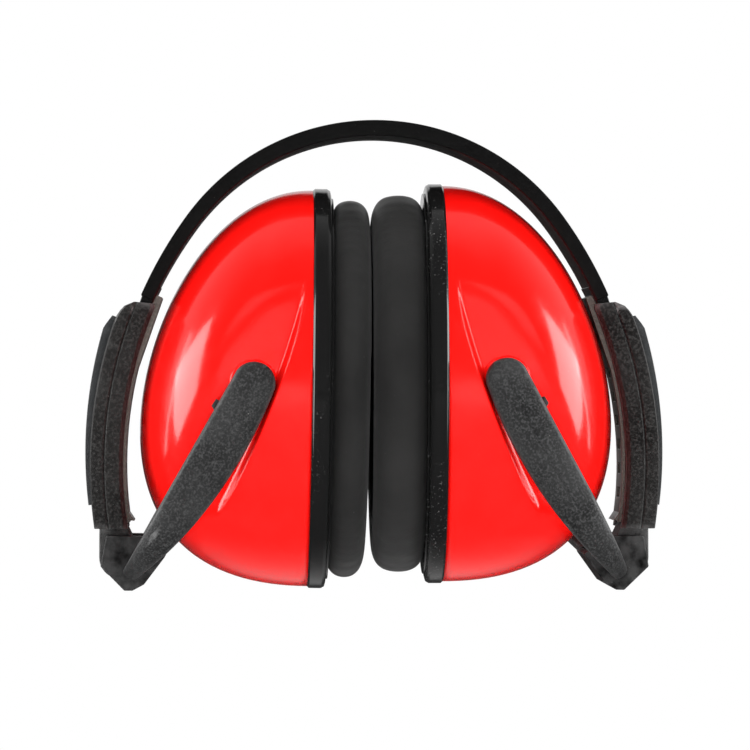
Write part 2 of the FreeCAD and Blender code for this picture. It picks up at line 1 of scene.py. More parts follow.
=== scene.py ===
"""Folded hearing protection earmuffs: red cups, black band and forks, soft black cushions.

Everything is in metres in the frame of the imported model. Pieces are drawn on the right-hand side
and mirrored to the left. Places come from the joints and nodes of the frame.
"""

import json
import math

import bmesh
import bpy
from mathutils import Matrix, Quaternion, Vector
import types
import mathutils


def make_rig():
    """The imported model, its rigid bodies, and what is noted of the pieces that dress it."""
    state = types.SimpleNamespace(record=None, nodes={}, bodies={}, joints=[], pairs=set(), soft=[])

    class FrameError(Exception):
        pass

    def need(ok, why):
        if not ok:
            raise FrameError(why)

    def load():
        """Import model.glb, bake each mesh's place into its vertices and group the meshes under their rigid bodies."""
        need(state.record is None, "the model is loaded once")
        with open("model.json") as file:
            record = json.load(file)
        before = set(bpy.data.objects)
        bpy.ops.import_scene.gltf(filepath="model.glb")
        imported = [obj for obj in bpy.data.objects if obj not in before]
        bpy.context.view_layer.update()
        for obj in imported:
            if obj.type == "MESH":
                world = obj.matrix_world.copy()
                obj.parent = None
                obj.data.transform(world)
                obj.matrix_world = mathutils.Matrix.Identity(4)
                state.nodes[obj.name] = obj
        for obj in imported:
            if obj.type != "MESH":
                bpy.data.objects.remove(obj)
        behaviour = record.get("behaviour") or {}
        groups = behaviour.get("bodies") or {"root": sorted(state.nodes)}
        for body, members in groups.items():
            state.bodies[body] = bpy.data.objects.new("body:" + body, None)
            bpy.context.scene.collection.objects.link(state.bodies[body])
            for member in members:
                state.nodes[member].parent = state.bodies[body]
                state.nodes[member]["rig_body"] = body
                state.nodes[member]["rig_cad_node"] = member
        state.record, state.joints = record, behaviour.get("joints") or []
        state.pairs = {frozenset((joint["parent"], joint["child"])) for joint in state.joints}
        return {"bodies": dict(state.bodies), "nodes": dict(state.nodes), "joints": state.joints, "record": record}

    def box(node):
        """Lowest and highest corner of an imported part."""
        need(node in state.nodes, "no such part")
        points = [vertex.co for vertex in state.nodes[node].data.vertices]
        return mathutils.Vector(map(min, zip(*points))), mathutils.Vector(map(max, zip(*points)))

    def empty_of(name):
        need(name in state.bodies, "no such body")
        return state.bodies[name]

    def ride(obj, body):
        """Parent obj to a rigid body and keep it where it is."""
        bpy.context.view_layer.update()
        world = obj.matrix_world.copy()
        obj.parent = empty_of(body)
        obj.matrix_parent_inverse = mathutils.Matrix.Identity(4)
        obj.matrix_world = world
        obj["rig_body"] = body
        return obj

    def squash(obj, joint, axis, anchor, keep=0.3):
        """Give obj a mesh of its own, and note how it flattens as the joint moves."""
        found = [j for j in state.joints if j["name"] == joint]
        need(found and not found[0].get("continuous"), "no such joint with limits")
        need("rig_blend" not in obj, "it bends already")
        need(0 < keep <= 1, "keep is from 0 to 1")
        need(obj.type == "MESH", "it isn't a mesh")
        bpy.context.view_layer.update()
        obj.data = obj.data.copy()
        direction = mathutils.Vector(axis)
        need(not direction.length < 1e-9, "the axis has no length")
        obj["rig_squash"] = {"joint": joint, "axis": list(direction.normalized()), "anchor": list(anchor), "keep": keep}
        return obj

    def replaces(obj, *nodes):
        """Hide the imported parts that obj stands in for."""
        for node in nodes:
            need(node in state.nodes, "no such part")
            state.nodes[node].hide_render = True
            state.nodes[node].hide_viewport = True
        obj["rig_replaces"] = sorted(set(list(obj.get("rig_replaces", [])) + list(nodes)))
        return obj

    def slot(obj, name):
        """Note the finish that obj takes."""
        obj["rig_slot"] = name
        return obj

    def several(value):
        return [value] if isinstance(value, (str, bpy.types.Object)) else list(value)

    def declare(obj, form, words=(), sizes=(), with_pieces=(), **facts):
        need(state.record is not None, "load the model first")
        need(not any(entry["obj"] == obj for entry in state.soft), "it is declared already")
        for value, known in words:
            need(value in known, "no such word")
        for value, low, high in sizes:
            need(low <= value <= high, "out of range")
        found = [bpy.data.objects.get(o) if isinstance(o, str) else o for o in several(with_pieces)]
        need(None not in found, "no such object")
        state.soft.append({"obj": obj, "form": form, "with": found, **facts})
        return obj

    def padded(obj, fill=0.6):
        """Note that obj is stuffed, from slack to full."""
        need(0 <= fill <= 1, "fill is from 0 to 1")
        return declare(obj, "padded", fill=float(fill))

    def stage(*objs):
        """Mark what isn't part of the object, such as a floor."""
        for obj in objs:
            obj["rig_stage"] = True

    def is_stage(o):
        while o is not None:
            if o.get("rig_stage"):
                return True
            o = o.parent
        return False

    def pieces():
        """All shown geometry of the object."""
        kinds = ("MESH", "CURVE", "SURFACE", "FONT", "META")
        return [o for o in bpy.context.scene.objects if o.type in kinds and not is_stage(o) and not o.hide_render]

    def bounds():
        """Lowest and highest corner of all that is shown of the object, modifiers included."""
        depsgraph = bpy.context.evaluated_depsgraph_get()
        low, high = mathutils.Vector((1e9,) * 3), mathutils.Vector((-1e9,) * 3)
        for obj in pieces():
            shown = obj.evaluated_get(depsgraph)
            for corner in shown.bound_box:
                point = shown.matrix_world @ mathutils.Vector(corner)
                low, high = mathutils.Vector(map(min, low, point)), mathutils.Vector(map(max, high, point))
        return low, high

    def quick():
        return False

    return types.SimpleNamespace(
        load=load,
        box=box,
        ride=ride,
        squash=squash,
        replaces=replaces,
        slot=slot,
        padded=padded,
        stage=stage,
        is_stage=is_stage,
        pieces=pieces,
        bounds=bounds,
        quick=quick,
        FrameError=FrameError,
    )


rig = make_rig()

MM = 0.001
SIDES = {"left": -1.0, "right": 1.0}

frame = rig.load()
cad_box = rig.bounds()
joints = {joint["name"]: joint for joint in frame["joints"]}

# headband and slider, radii about the centre of each side arc (mm) and angles (degrees)
BAND_OUTSIDE = 104.7
BAND_THICKNESS = 3.7
BAND_HALF_WIDTH = 14.0
BAND_END = 23.6
STRAP_INSIDE, STRAP_OUTSIDE = 99.6, 101.8
STRAP_HALF_WIDTH = 9.0
STRAP_END = -8.2
SLIDER_BOTTOM, SLIDER_TOP = -8.3, 22.0
SLIDER_INSIDE, SLIDER_PARTING, SLIDER_OUTSIDE = 100.3, 105.0, 108.5
SLIDER_HALF_WIDTH = 15.0
SLANT_START, TOP_SLANT, BOTTOM_SLANT = 12, 1.4, 0.7
TAB_CHANNEL, TAB_CHANNEL_HALF = 107.6, 9.2
TAB_THICKNESS, TAB_HALF_WIDTH = 1.5, 8.5
TAB_BOTTOM, TAB_TOP = -5.2, 20.0
TAB_LIFT = 1.7

# ear cup, measured from the rim's outer face: u outwards, w up from the rim's centre (mm)
CUP_DEPTH = 42.2
CUP_HALF_HEIGHT = 49.4
CUP_HALF_WIDTH = 38.8
CUP_SAG = 10.5
PIVOT_U, PIVOT_W = 14.2, 1.15
POCKET_FLOOR = 33.55
CUP_LEAN = {"left": -0.9, "right": 0.0}
RIM_HALF_HEIGHT, RIM_HALF_WIDTH = 49.85, 40.0
RIM_THICKNESS, RIM_BAR = 4.5, 5.0
CUSHION_HALF_HEIGHT, CUSHION_HALF_WIDTH = 47.0, 36.7
EAR_HALF_WIDTH = 20.0
CUSHION_THICKNESS = {"left": 9.6, "right": 13.3}

# fork, measured from the cup's pivot: s along the arm, z across it (mm)
FORK_TIP_RADIUS = 5.25
FORK_END = 57.0
FORK_HALF_WIDTH = 39.8
FORK_THICKNESS = 5.2
FORK_CORNER = 24.0
FORK_REACH = 54.4

# height of the floor (m)
FLOOR_LEVEL = -0.135


# ---------------------------------------------------------------- geometry helpers


def place_of(joint_name):
    """Where a joint is at rest (m)."""
    return Vector(joints[joint_name]["pos_m"])


def mesh_piece(name, points, faces):
    """A smooth-shaded mesh object with its normals facing outwards."""
    mesh = bpy.data.meshes.new(name)
    mesh.from_pydata([tuple(point) for point in points], [], faces)
    mesh.validate()
    work = bmesh.new()
    work.from_mesh(mesh)
    bmesh.ops.recalc_face_normals(work, faces=work.faces)
    work.to_mesh(mesh)
    work.free()
    piece = bpy.data.objects.new(name, mesh)
    bpy.context.scene.collection.objects.link(piece)
    for polygon in mesh.polygons:
        polygon.use_smooth = True
    return piece


def tube(name, rings, closed=False):
    """Joins equal rings of points into a skin; closed joins the last ring to the first."""
    count = len(rings[0])
    points = [point for ring in rings for point in ring]
    faces = []
    total = len(rings)
    for row in range(total if closed else total - 1):
        here = row * count
        there = ((row + 1) % total) * count
        for column in range(count):
            beside = (column + 1) % count
            faces.append((here + column, here + beside, there + beside, there + column))
    if not closed:
        faces.append(tuple(range(count)))
        faces.append(tuple((total - 1) * count + column for column in range(count)))
    return mesh_piece(name, points, faces)


def rounded_loop(corners, radius, steps=4):
    """A closed outline of (x, y) corners with every corner rounded to the radius."""
    loop = []
    count = len(corners)
    for index, corner in enumerate(corners):
        here = Vector(corner)
        before = (Vector(corners[index - 1]) - here).normalized()
        after = (Vector(corners[(index + 1) % count]) - here).normalized()
        half = before.angle(after) / 2
        reach = radius / math.tan(half)
        start, end = here + before * reach, here + after * reach
        for step in range(steps + 1):
            share = step / steps
            bend = start.lerp(here, share).lerp(here.lerp(end, share), share)
            loop.append((bend.x, bend.y))
    return loop


def bevel(piece, width, segments=2, degrees=35):
    """Rounds the edges that are sharper than the angle; the width is in mm."""
    modifier = piece.modifiers.new("Bevel", "BEVEL")
    modifier.width = width * MM
    modifier.segments = segments
    modifier.limit_method = "ANGLE"
    modifier.angle_limit = math.radians(degrees)
    modifier.harden_normals = True


def subdivide(piece, levels):
    """Adds a subdivision surface."""
    modifier = piece.modifiers.new("Subdivision", "SUBSURF")
    modifier.levels = levels
    modifier.render_levels = levels


def apply_modifiers(piece):
    """Turns the piece's modifiers into its own mesh."""
    shown = bpy.context.evaluated_depsgraph_get()
    mesh = bpy.data.meshes.new_from_object(piece.evaluated_get(shown))
    piece.modifiers.clear()
    piece.data = mesh


def smooth_step(value):
    """0 below 0, 1 above 1, and a smooth rise between."""
    value = min(max(value, 0.0), 1.0)
    return value * value * (3 - 2 * value)


def soft_min(first, second, blend):
    """The smaller of two numbers, with a rounded change from one to the other."""
    overlap = max(blend - abs(first - second), 0.0) / blend
    return min(first, second) - overlap * overlap * blend / 4


def spread(low, high, count):
    """Evenly spaced numbers from low to high, both included."""
    return [low + (high - low) * step / (count - 1) for step in range(count)]


def dress(piece, body, slot, material, *nodes):
    """Rides the piece on its body, and says its slot, its material and what it stands for."""
    piece.data.materials.clear()
    piece.data.materials.append(material)
    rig.ride(piece, body)
    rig.slot(piece, slot)
    if nodes:
        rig.replaces(piece, *nodes)
    return piece


# ---------------------------------------------------------------- material helpers


def node(tree, kind, inputs=None, **settings):
    """Adds a shader node; an input is a number, a colour or another node's output."""
    made = tree.nodes.new(kind)
    for name, value in settings.items():
        setattr(made, name, value)
    for socket, value in (inputs or {}).items():
        if isinstance(value, bpy.types.NodeSocket):
            tree.links.new(value, made.inputs[socket])
        else:
            made.inputs[socket].default_value = value
    return made


def new_material(name):
    """A new material, with its node tree and its main shader."""
    material = bpy.data.materials.new(name)
    material.use_nodes = True
    return material, material.node_tree, material.node_tree.nodes["Principled BSDF"]


def noise(tree, place, scale, detail=3.0, rough=0.5):
    """Soft noise, mostly near one half."""
    return node(tree, "ShaderNodeTexNoise", {
        "Vector": place, "Scale": scale, "Detail": detail, "Roughness": rough,
    }).outputs["Fac"]


def remap(tree, value, low, high, to_low=0.0, to_high=1.0):
    """Stretches a value from one range to another, clamped."""
    return node(tree, "ShaderNodeMapRange", {
        "Value": value, "From Min": low, "From Max": high, "To Min": to_low, "To Max": to_high,
    }).outputs["Result"]


def mix_colour(tree, amount, first, second):
    """Blends two colours; an amount of 0 gives the first."""
    mixer = node(tree, "ShaderNodeMix", {"Factor": amount}, data_type="RGBA")
    for socket, value in ((mixer.inputs[6], first), (mixer.inputs[7], second)):
        if isinstance(value, bpy.types.NodeSocket):
            tree.links.new(value, socket)
        else:
            socket.default_value = value
    return mixer.outputs[2]


def bump(tree, height, distance, strength=1.0, normal=None):
    """A bumped normal; the distance is in mm, and a given normal is bumped further."""
    inputs = {"Height": height, "Distance": distance * MM, "Strength": strength}
    if normal:
        inputs["Normal"] = normal
    return node(tree, "ShaderNodeBump", inputs).outputs["Normal"]


def grey(value, tint=0.0):
    """A grey; a positive tint makes it warmer."""
    return (value * (1 + tint), value, value * (1 - tint), 1)


def moulded_plastic(name, dark, light, roughness, shine, grain, grain_depth, dust=0.0, edge_wear_and_highlight=0.0):
    """Plastic with a fine moulded grain, slow shade changes, dust specks, and paler edges that are partly wear and
    partly a painted highlight.
    """
    material, tree, shader = new_material(name)
    place = node(tree, "ShaderNodeTexCoord").outputs["Object"]
    clouds = noise(tree, place, 70, 4)
    colour = mix_colour(tree, remap(tree, clouds, 0.35, 0.65, 0.0, 0.35), dark, light)
    fine = noise(tree, place, grain, 2, 0.6)
    colour = mix_colour(tree, remap(tree, fine, 0.46, 0.66, 0.0, 0.9), colour, light)
    if dust:
        specks = remap(tree, noise(tree, place, 1900, 1), 0.80, 0.84, 0.0, dust)
        colour = mix_colour(tree, specks, colour, grey(0.32, 0.03))
    # paler convex edges: partly wear, partly a painted edge highlight
    if edge_wear_and_highlight:
        edge = node(tree, "ShaderNodeNewGeometry").outputs["Pointiness"]
        ragged_wear_and_highlight = node(tree, "ShaderNodeMath", {
            0: remap(tree, edge, 0.52, 0.60), 1: remap(tree, noise(tree, place, 300), 0.3, 0.6),
        }, operation="MULTIPLY").outputs[0]
        colour = mix_colour(tree, remap(tree, ragged_wear_and_highlight, 0, 1, 0, edge_wear_and_highlight), colour, grey(0.24))
    tree.links.new(colour, shader.inputs["Base Color"])
    tree.links.new(
        remap(tree, noise(tree, place, 240, 3), 0.3, 0.7, roughness - 0.05, roughness + 0.06),
        shader.inputs["Roughness"],
    )
    tree.links.new(bump(tree, fine, grain_depth), shader.inputs["Normal"])
    shader.inputs["Specular IOR Level"].default_value = shine
    return material


def red_plastic():
    """Glossy red: nearly even, with a faint waviness and a few dust specks."""
    material, tree, shader = new_material("red_gloss")
    place = node(tree, "ShaderNodeTexCoord").outputs["Object"]
    clouds = noise(tree, place, 45, 3)
    colour = mix_colour(tree, clouds, (0.60, 0.0034, 0.0024, 1), (0.66, 0.0050, 0.0036, 1))
    specks = remap(tree, noise(tree, place, 1700, 1), 0.82, 0.85, 0.0, 0.3)
    colour = mix_colour(tree, specks, colour, (0.8, 0.16, 0.12, 1))
    tree.links.new(colour, shader.inputs["Base Color"])
    scuffs = remap(tree, noise(tree, place, 160, 5, 0.7), 0.35, 0.75, 0.14, 0.24)
    tree.links.new(scuffs, shader.inputs["Roughness"])
    waves = bump(tree, noise(tree, place, 55, 2), 0.10)
    tree.links.new(bump(tree, noise(tree, place, 1400, 2), 0.003, 1.0, waves),
                   shader.inputs["Normal"])
    shader.inputs["Specular IOR Level"].default_value = 0.35
    shader.inputs["Coat Weight"].default_value = 0.2
    shader.inputs["Coat Roughness"].default_value = 0.06
    return material


def rim_plastic():
    """Glossy black with pale rubbed scuffs in patches."""
    material, tree, shader = new_material("rim_gloss")
    place = node(tree, "ShaderNodeTexCoord").outputs["Object"]
    patches = remap(tree, noise(tree, place, 38, 2), 0.52, 0.62)
    flecks = remap(tree, noise(tree, place, 1500, 3, 0.65), 0.62, 0.70)
    rubbed = node(tree, "ShaderNodeMath", {0: patches, 1: flecks}, operation="MULTIPLY")
    colour = mix_colour(tree, remap(tree, rubbed.outputs[0], 0, 1, 0, 0.45),
                        grey(0.005), grey(0.20, 0.02))
    tree.links.new(colour, shader.inputs["Base Color"])
    tree.links.new(remap(tree, rubbed.outputs[0], 0, 1, 0.14, 0.5), shader.inputs["Roughness"])
    waves = bump(tree, noise(tree, place, 90, 2), 0.05)
    tree.links.new(bump(tree, flecks, 0.01, 0.5, waves), shader.inputs["Normal"])
    shader.inputs["Specular IOR Level"].default_value = 0.4
    return material


def vinyl_skin():
    """Soft matte vinyl with a fine pore pattern and a low sheen."""
    material, tree, shader = new_material("cushion_vinyl")
    place = node(tree, "ShaderNodeTexCoord").outputs["Object"]
    colour = mix_colour(tree, remap(tree, noise(tree, place, 50, 4), 0.3, 0.7),
                        grey(0.009, 0.02), grey(0.015, 0.02))
    specks = remap(tree, noise(tree, place, 2000, 1), 0.80, 0.84, 0.0, 0.4)
    colour = mix_colour(tree, specks, colour, grey(0.25))
    tree.links.new(colour, shader.inputs["Base Color"])
    tree.links.new(remap(tree, noise(tree, place, 150, 3), 0.3, 0.7, 0.46, 0.60),
                   shader.inputs["Roughness"])
    pores = node(tree, "ShaderNodeTexVoronoi", {"Vector": place, "Scale": 1500})
    grain = bump(tree, pores.outputs["Distance"], 0.02)
    folds = bump(tree, noise(tree, place, 120, 3, 0.6), 0.12, 1.0, grain)
    tree.links.new(folds, shader.inputs["Normal"])
    shader.inputs["Specular IOR Level"].default_value = 0.25
    shader.inputs["Sheen Weight"].default_value = 0.05
    shader.inputs["Sheen Roughness"].default_value = 0.5
    return material


def open_foam():
    """Dark open-celled foam, full of small holes, each painted darker inside as painted shade."""
    material, tree, shader = new_material("open_foam")
    place = node(tree, "ShaderNodeTexCoord").outputs["Object"]
    cells = node(tree, "ShaderNodeTexVoronoi", {"Vector": place, "Scale": 900})
    pore_depth_and_shade = remap(tree, cells.outputs["Distance"], 0.1, 0.6)
    # painted shade: the colour darkens into each pore, where the bump sinks it
    colour = mix_colour(tree, pore_depth_and_shade, grey(0.012), grey(0.075))
    tree.links.new(colour, shader.inputs["Base Color"])
    shader.inputs["Roughness"].default_value = 0.95
    tree.links.new(bump(tree, pore_depth_and_shade, 0.4), shader.inputs["Normal"])
    return material


def pin_steel():
    """Drawn steel with fine lines along the pin."""
    material, tree, shader = new_material("pin_steel")
    place = node(tree, "ShaderNodeTexCoord").outputs["Object"]
    stretched = node(tree, "ShaderNodeMapping", {"Vector": place, "Scale": (1, 0.05, 1)})
    lines = noise(tree, stretched.outputs["Vector"], 3000, 2)
    tree.links.new(mix_colour(tree, lines, grey(0.42), grey(0.62)), shader.inputs["Base Color"])
    tree.links.new(remap(tree, lines, 0.3, 0.7, 0.25, 0.4), shader.inputs["Roughness"])
    tree.links.new(bump(tree, lines, 0.004), shader.inputs["Normal"])
    shader.inputs["Metallic"].default_value = 1.0
    return material


MATERIALS = {
    "band": moulded_plastic("band_satin", grey(0.0025), grey(0.0042), 0.34, 0.2,
                            2400, 0.006, 0.4),
    "strap": moulded_plastic("strap_plastic", grey(0.060, 0.12), grey(0.110, 0.12), 0.40, 0.45,
                             2400, 0.010, 0.3),
    "slider": moulded_plastic("slider_grain", grey(0.003, 0.03), grey(0.020, 0.03), 0.52, 0.25,
                              1700, 0.080, 0.4, 0.4),
    "tab": moulded_plastic("tab_grain", grey(0.018, -0.05), grey(0.030, -0.05), 0.46, 0.35,
                           2600, 0.020, 0.3, 0.3),
    "fork": moulded_plastic("fork_grain", grey(0.007, -0.01), grey(0.035, -0.01), 0.48, 0.35,
                            2000, 0.080, 0.4, 0.25),
    "block": moulded_plastic("block_grain", grey(0.0015), grey(0.0035), 0.55, 0.1,
                             2300, 0.020, 0.3, 0.3),
    "bush": moulded_plastic("bush_plastic", grey(0.010), grey(0.018), 0.40, 0.35, 1800, 0.010),
    "plate": moulded_plastic("plate_plastic", grey(0.008), grey(0.014), 0.45, 0.3, 1800, 0.010),
    "cup": red_plastic(),
    "rim": rim_plastic(),
    "cushion": vinyl_skin(),
    "foam": open_foam(),
    "steel": pin_steel(),
}


# ---------------------------------------------------------------- headband


def arc_point(side, radius, degrees, y):
    """A point of a side arc, at a radius and an angle above level."""
    centre = place_of(f"{side}_slide")
    turn = math.radians(degrees)
    return Vector((
        centre.x + SIDES[side] * radius * MM * math.cos(turn),
        y * MM,
        centre.z + radius * MM * math.sin(turn),
    ))


def band_curve():
    """Points and outward directions along the whole band, from the right end to the left."""
    centre = place_of("right_slide") / MM
    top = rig.box("headband")[1].z / MM
    rise = top - centre.z
    across = -centre.x
    crown_radius = (BAND_OUTSIDE**2 - across**2 - rise**2) / (2 * (BAND_OUTSIDE - rise))
    crown_centre = top - crown_radius
    joint_angle = math.degrees(math.atan2(crown_centre - centre.z, across))
    stations = []
    for degrees in spread(BAND_END, joint_angle, 12)[:-1]:
        stations.append((centre.x, centre.z, BAND_OUTSIDE, degrees))
    for degrees in spread(joint_angle, 180 - joint_angle, 72):
        stations.append((0.0, crown_centre, crown_radius, degrees))
    for degrees in spread(180 - joint_angle, 180 - BAND_END, 12)[1:]:
        stations.append((-centre.x, centre.z, BAND_OUTSIDE, degrees))
    curve = []
    for x, z, radius, degrees in stations:
        outward = Vector((math.cos(math.radians(degrees)), 0, math.sin(math.radians(degrees))))
        curve.append((Vector((x, 0, z)) + outward * radius, outward))
    return curve


def make_band():
    """The band's full section with rounded edges, tapering in thickness towards its ends."""
    curve = band_curve()
    rings = []
    last = len(curve) - 1
    for index, (outside, outward) in enumerate(curve):
        thickness = BAND_THICKNESS * (1.06 - 0.16 * abs(2 * index / last - 1) ** 3)
        section = rounded_loop([
            (-thickness, -BAND_HALF_WIDTH), (0, -BAND_HALF_WIDTH),
            (0, BAND_HALF_WIDTH), (-thickness, BAND_HALF_WIDTH),
        ], 0.55)
        rings.append([(outside + outward * depth + Vector((0, y, 0))) * MM for depth, y in section])
    band = tube("band_arch", rings)
    bevel(band, 0.4)
    return band


def make_strap(side):
    """The notched strap below the band: a thin strip with a ladder of slots."""
    slot_pitch = math.degrees(6.0 / STRAP_INSIDE)
    slot_height = math.degrees(2.5 / STRAP_INSIDE)
    first = math.degrees(math.asin(-10.2 / STRAP_INSIDE))
    angles = [STRAP_END]
    for slot in range(6):
        angles += [first + slot * slot_pitch + slot_height * 0.8,
                   first + slot * slot_pitch + slot_height * 1.8]
    angles += [BAND_END + 1.0]
    widths = [-STRAP_HALF_WIDTH, -4.0, 4.0, STRAP_HALF_WIDTH]
    points, faces, rows = [], [], []
    for degrees in angles:
        for radius in (STRAP_INSIDE, STRAP_OUTSIDE):
            points += [arc_point(side, radius, degrees, y) for y in widths]
        rows.append(len(points) - 8)
    for row, (low, high) in enumerate(zip(rows, rows[1:])):
        slotted = row % 2 == 1
        for column in range(3):
            if slotted and column == 1:
                continue
            for layer in (0, 4):
                here, there = low + layer + column, high + layer + column
                faces.append((here, here + 1, there + 1, there))
        for column in (0, 3):
            faces.append((low + column, high + column, high + column + 4, low + column + 4))
        if slotted:
            for column in (1, 2):
                faces.append((low + column, high + column, high + column + 4, low + column + 4))
            for base in (low, high):
                faces.append((base + 1, base + 2, base + 6, base + 5))
    for base in (rows[0], rows[-1]):
        for column in range(3):
            faces.append((base + column, base + column + 1, base + column + 5, base + column + 4))
    strap = mesh_piece(f"{side}_strap", points, faces)
    bevel(strap, 0.15)
    return strap


def make_shoulder(side):
    """The band's last few millimetres: a little thinner, and cut level above the slider."""
    inside = BAND_OUTSIDE - BAND_THICKNESS
    rings = []
    for degrees, inset in ((25.0, 0.12), (22.75, 0.42), (22.35, 0.5)):
        low, high, half = inside + inset * 0.5, BAND_OUTSIDE - inset, BAND_HALF_WIDTH - inset
        section = rounded_loop([(low, -half), (high, -half), (high, half), (low, half)], 0.4)
        ring = []
        for radius, y in section:
            level = degrees + 0.24 * (BAND_OUTSIDE - radius)
            ring.append(arc_point(side, radius, level, y))
        rings.append(ring)
    shoulder = tube(f"{side}_band_shoulder", rings)
    bevel(shoulder, 0.15)
    return shoulder


def make_hook(side):
    """The barb at the strap's end that keeps it in the slider."""
    profile = [(STRAP_INSIDE + 0.5, STRAP_END + 1.6), (STRAP_INSIDE, STRAP_END + 1.4),
               (STRAP_INSIDE - 1.1, STRAP_END + 0.1), (STRAP_INSIDE - 0.2, STRAP_END + 0.25),
               (STRAP_INSIDE + 0.5, STRAP_END)]
    rings = [[arc_point(side, radius, degrees, y) for radius, degrees in profile]
             for y in (-STRAP_HALF_WIDTH + 0.4, STRAP_HALF_WIDTH - 0.4)]
    hook = tube(f"{side}_strap_hook", rings)
    bevel(hook, 0.12)
    return hook


def make_headband():
    """The band, and at each end its shoulder, strap and hook."""
    band = dress(make_band(), "band", "band_plastic", MATERIALS["band"], "headband")
    for side in SIDES:
        dress(make_shoulder(side), "band", "band_plastic", MATERIALS["band"])
        for piece in (make_strap(side), make_hook(side)):
            dress(piece, "band", "band_plastic", MATERIALS["strap"])
    return band


# ---------------------------------------------------------------- slider and tab


def end_rounding(distance, radius):
    """How far a surface falls back near an end that is rounded to the radius."""
    if distance >= radius:
        return 0.0
    return radius - math.sqrt(max(radius**2 - (radius - distance) ** 2, 0.0))


def arc_piece(name, side, section_at, low, high, count=40):
    """Sweeps a changing section along the side arc."""
    rings = []
    for degrees in spread(low, high, count):
        rings.append([arc_point(side, radius, degrees, y) for radius, y in section_at(degrees)])
    return tube(name, rings)


def slider_piece(name, side, section_at, count=48):
    """A piece of the slider, whose two ends are cut level rather than square to its curve."""
    rings = []
    for degrees in spread(SLIDER_BOTTOM, SLIDER_TOP, count):
        rise = TOP_SLANT * smooth_step((degrees - SLANT_START) / (SLIDER_TOP - SLANT_START))
        drop = BOTTOM_SLANT * smooth_step(degrees / SLIDER_BOTTOM)
        ring = []
        for radius, y in section_at(degrees):
            inner = (SLIDER_OUTSIDE - radius) / (SLIDER_OUTSIDE - SLIDER_INSIDE)
            ring.append(arc_point(side, radius, degrees + inner * (rise - drop), y))
        rings.append(ring)
    return tube(name, rings)


def distance_to_end(degrees, end):
    """Length along the slider's outside from one angle to another (mm)."""
    return math.radians(abs(end - degrees)) * SLIDER_OUTSIDE


def shell_section(degrees):
    """Outer half of the slider: two walls with the tab's channel between them."""
    fall = end_rounding(distance_to_end(degrees, SLIDER_TOP) * 0.6, 3.4)
    outside = SLIDER_OUTSIDE - fall * 0.85
    floor = min(TAB_CHANNEL, outside - 0.25)
    half, wall = SLIDER_HALF_WIDTH, TAB_CHANNEL_HALF
    upper = [
        (floor, wall), (outside, wall + 0.2), (outside, half - 1.5), (outside - 0.35, half - 0.1),
        (SLIDER_PARTING + 0.4, half), (SLIDER_PARTING + 0.02, half - 0.3),
    ]
    lower = [(radius, -y) for radius, y in reversed(upper)]
    return rounded_loop(lower + upper, 0.16, 2)


def cover_section(degrees):
    """Inner half of the slider, with the channel that the strap runs in."""
    fall = end_rounding(distance_to_end(degrees, SLIDER_TOP), 1.2)
    half = SLIDER_HALF_WIDTH
    inside = SLIDER_INSIDE + fall * 0.5
    upper = [
        (SLIDER_PARTING - 0.02, half - 0.3), (SLIDER_PARTING - 0.4, half),
        (inside + 1.0, half - 0.1), (inside, half - 1.1), (inside, 9.3),
        (inside + 0.55, 9.3), (inside + 0.55, 11.3), (104.4, 11.3),
    ]
    lower = [(radius, -y) for radius, y in reversed(upper)]
    return rounded_loop(upper + lower, 0.12, 2)


def make_tongue(side):
    """The slider's tongue: a neck that runs into a round knuckle on the fold axis."""
    fold = place_of(f"{side}_fold") / MM
    centre = place_of(f"{side}_slide") / MM
    sign = SIDES[side]
    radius = 5.3
    turn = math.radians(SLIDER_BOTTOM + 0.3)
    outer_top = (sign * centre.x + (TAB_CHANNEL - 0.3) * math.cos(turn),
                 centre.z + TAB_CHANNEL * math.sin(turn))
    inner_top = (sign * centre.x + (SLIDER_INSIDE + 0.6) * math.cos(turn),
                 centre.z + SLIDER_INSIDE * math.sin(turn))
    outline = [inner_top, outer_top]
    for degrees in spread(0, -180, 19):
        turn = math.radians(degrees)
        outline.append((sign * fold.x + radius * math.cos(turn),
                        fold.z + radius * math.sin(turn)))
    rings = []
    for y in (-7.6, 7.6):
        rings.append([Vector((sign * x, y, z)) * MM for x, z in outline])
    tongue = tube(f"{side}_tongue", rings)
    bevel(tongue, 0.35, degrees=50)
    return tongue


def make_slider(side):
    """Two mouldings that meet at a parting line, and the tongue of the hinge."""
    body = f"{side}_slider"
    shell = slider_piece(f"{side}_slider_back", side, shell_section)
    bevel(shell, 0.2)
    dress(shell, body, "slider_plastic", MATERIALS["slider"], f"{side}_slider_shell")
    cover = slider_piece(f"{side}_slider_front", side, cover_section)
    bevel(cover, 0.2)
    dress(cover, body, "slider_plastic", MATERIALS["slider"], f"{side}_slider_cover")
    dress(make_tongue(side), body, "slider_plastic", MATERIALS["slider"])


def tab_section(degrees):
    """Thin curved plate with a lip along each edge and an upper end bevelled to an edge."""
    near_top = distance_to_end(degrees, TAB_TOP)
    thin = max(0.0, 1 - near_top / 3.4)
    inside = TAB_CHANNEL + 0.3
    outside = inside + TAB_THICKNESS * (1 - 0.8 * thin)
    half = TAB_HALF_WIDTH - 1.2 * thin
    lip = inside - 0.13 - 0.5 * (degrees - TAB_BOTTOM) / (TAB_TOP - TAB_BOTTOM)
    upper = [(inside, half - 0.7), (lip, half - 0.6), (lip, half), (outside - 0.1, half),
             (outside, half - 0.6)]
    lower = [(radius, -y) for radius, y in reversed(upper)]
    return rounded_loop(upper + lower, 0.05, 2)


